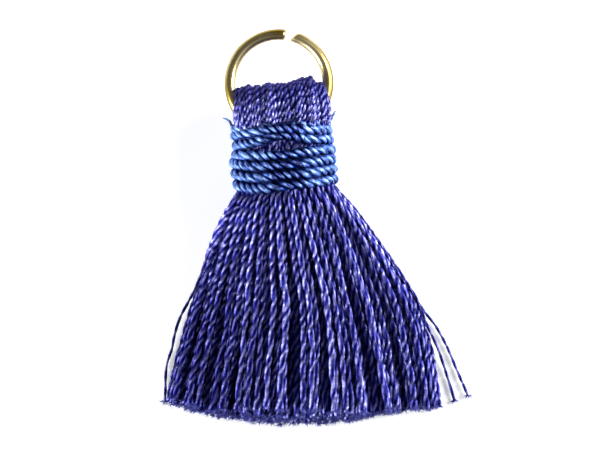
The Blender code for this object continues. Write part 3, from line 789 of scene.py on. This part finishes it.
def buildLooseEnds():
    # short tails of the cord, each a smoothed run of points thinning to its tip
    share = np.linspace(0.0, 1.0, looseEnd["rings"])
    for number, end in enumerate(looseEnds):
        points = np.array(end["points"])
        path = np.stack([np.interp(share * (len(points) - 1), np.arange(len(points)), points[:, axis])
                         for axis in range(3)], axis=1)
        path = smoothRows(path, looseEnd["softness"])[None]
        scale = (1.0 - looseEnd["thinning"] * share ** 1.5)[None]
        turn = 2.0 * math.pi * lengthAlong(path) / looseEnd["pitch"]
        profile = plyProfile(binding["plies"], end["radius"] * looseEnd["plyShare"],
                             end["radius"] * looseEnd["offsetShare"], looseEnd["steps"])
        piece = putTubes("cordTail%d" % (number + 1), path, (0.0, 0.0, 1.0), profile, turn, scale,
                         np.array([looseEnd["tone"]]))
        dress(piece, cordSilk, "binding_cord", "binding")


buildLooseEnds()


ring = {
    "outerRadius": 4.0, "wireRadius": 0.4, "middleY": 5.78, "droop": 5.0,
    "gapFrom": 78.2, "gapTo": 68.2, "endSlant": 9.5, "slantFrom": 0.9, "endRounding": 0.05,
    "steps": 220, "sides": 28, "sharpAngle": 40.0,
}


def buildRing():
    # torus arc: ((R + r cos t) cos a, (R + r cos t) sin a, r sin t), leaning back about its lowest point
    middle = ring["outerRadius"] - ring["wireRadius"]
    share = np.linspace(0.0, 1.0, ring["steps"])
    degrees = ring["gapFrom"] + (360.0 + ring["gapTo"] - ring["gapFrom"]) * share
    tube = np.arange(ring["sides"]) * 2.0 * math.pi / ring["sides"]
    fromEnd = np.minimum(share, 1.0 - share) * 2.0 * math.pi * middle
    size = ring["wireRadius"] * np.sqrt(1.0 - 0.5 * np.exp(-fromEnd / ring["endRounding"]))
    out = size[:, None] * np.cos(tube)
    slant = ring["endSlant"] * out * smoothStep(ring["slantFrom"], 1.0, share)[:, None]
    angle = np.radians(degrees[:, None] - slant)
    along = (middle + out) * np.sin(angle) + middle
    up = size[:, None] * np.sin(tube)
    droop = math.radians(ring["droop"])
    points = np.stack([(middle + out) * np.cos(angle),
                       ring["middleY"] - middle + along * math.cos(droop) + up * math.sin(droop),
                       neckZ - along * math.sin(droop) + up * math.cos(droop)], axis=-1)
    steps, sides = ring["steps"], ring["sides"]
    number = np.arange(steps * sides).reshape(steps, sides)
    after = np.roll(number, -1, axis=1)
    quads = np.stack([number[:-1], number[1:], after[1:], after[:-1]], -1).reshape(-1, 4).tolist()
    faces = quads + [number[0].tolist(), number[-1][::-1].tolist()]
    mesh = bpy.data.meshes.new("ringWire")
    mesh.from_pydata((points.reshape(-1, 3) * mm).tolist(), [], faces)
    mesh.shade_smooth()
    mesh.set_sharp_from_angle(angle=math.radians(ring["sharpAngle"]))
    u = np.arange(sides) / sides
    loops = np.empty(len(mesh.loops), np.int32)
    mesh.loops.foreach_get("vertex_index", loops)
    flat = np.stack([u[loops % sides], (loops // sides) * 2.0 * math.pi * middle / steps], -1)
    mesh.uv_layers.new(name="UVMap").data.foreach_set("uv", flat.astype(np.float32).ravel())
    # painted highlight: the tone is highest on the wire's inner side, which is painted paler
    innerHighlight = mesh.attributes.new("tone", "FLOAT", "POINT")
    innerHighlight.data.foreach_set("value", np.tile(-np.cos(tube), steps).astype(np.float32))
    piece = bpy.data.objects.new("ringWire", mesh)
    bpy.context.scene.collection.objects.link(piece)
    dress(piece, goldWire, "gold_wire", "jump_ring")
    print("ring wire made")


buildRing()


studio = {
    "view": (0.79, -4.75, 0.0), "roll": 4.15, "distance": 420.0, "lens": 340.6, "sensor": 36.0,
    "lampAim": (0.0, -6.0, 2.0), "floorSize": 900.0, "floorColour": (0.90, 0.90, 0.90),
    "floorRoughness": 0.9, "floorSpecular": 0.1, "floorGlow": 0.36, "world": (0.95, 0.97, 1.0),
    "worldStrength": 0.10,
}
lamps = (
    {"name": "leftPanel", "at": (-161.0, -67.0, 60.0), "size": (80.0, 110.0), "brightness": 21.5},
    {"name": "rightPanel", "at": (156.0, 46.0, 79.0), "size": (80.0, 110.0), "brightness": 28.5},
)


def buildStudio():
    # a pale floor that glows a little, two soft lamps (energy = brightness pi width height) aimed at
    # the skirt, a faint even sky, and a far camera looking straight down
    half = studio["floorSize"] * mm / 2.0
    mesh = bpy.data.meshes.new("floor")
    mesh.from_pydata([(-half, -half, 0.0), (half, -half, 0.0), (half, half, 0.0), (-half, half, 0.0)],
                     [], [(0, 1, 2, 3)])
    floor = bpy.data.objects.new("floor", mesh)
    bpy.context.scene.collection.objects.link(floor)
    material, nodes, _ = newMaterial("paleFloor")
    shader = nodes["Principled BSDF"]
    shader.inputs["Base Color"].default_value = (*studio["floorColour"], 1.0)
    shader.inputs["Roughness"].default_value = studio["floorRoughness"]
    shader.inputs["Specular IOR Level"].default_value = studio["floorSpecular"]
    shader.inputs["Emission Color"].default_value = (1.0, 1.0, 1.0, 1.0)
    shader.inputs["Emission Strength"].default_value = studio["floorGlow"]
    mesh.materials.append(material)
    for lamp in lamps:
        light = bpy.data.lights.new(lamp["name"], "AREA")
        light.shape = "RECTANGLE"
        light.size, light.size_y = lamp["size"][0] * mm, lamp["size"][1] * mm
        light.energy = lamp["brightness"] * math.pi * light.size * light.size_y
        item = bpy.data.objects.new(lamp["name"], light)
        item.location = Vector(lamp["at"]) * mm
        aim = Vector(studio["lampAim"]) * mm - item.location
        item.rotation_euler = aim.to_track_quat("-Z", "Y").to_euler()
        bpy.context.scene.collection.objects.link(item)
    world = bpy.data.worlds.new("studioAir")
    world.use_nodes = True
    air = world.node_tree.nodes["Background"]
    air.inputs["Color"].default_value = (*studio["world"], 1.0)
    air.inputs["Strength"].default_value = studio["worldStrength"]
    bpy.context.scene.world = world
    camera = bpy.data.objects.new("camera", bpy.data.cameras.new("camera"))
    camera.data.lens = studio["lens"]
    camera.data.sensor_width = studio["sensor"]
    camera.data.clip_start = 0.001
    target = Vector(studio["view"])
    camera.matrix_world = (Matrix.Translation((target + Vector((0.0, 0.0, studio["distance"]))) * mm)
                           @ Matrix.Rotation(-math.radians(studio["roll"]), 4, "Z"))
    bpy.context.scene.collection.objects.link(camera)
    bpy.context.scene.camera = camera
    bpy.context.scene.view_settings.view_transform = "Standard"
    print("studio made")


buildStudio()

bpy.context.view_layer.update()
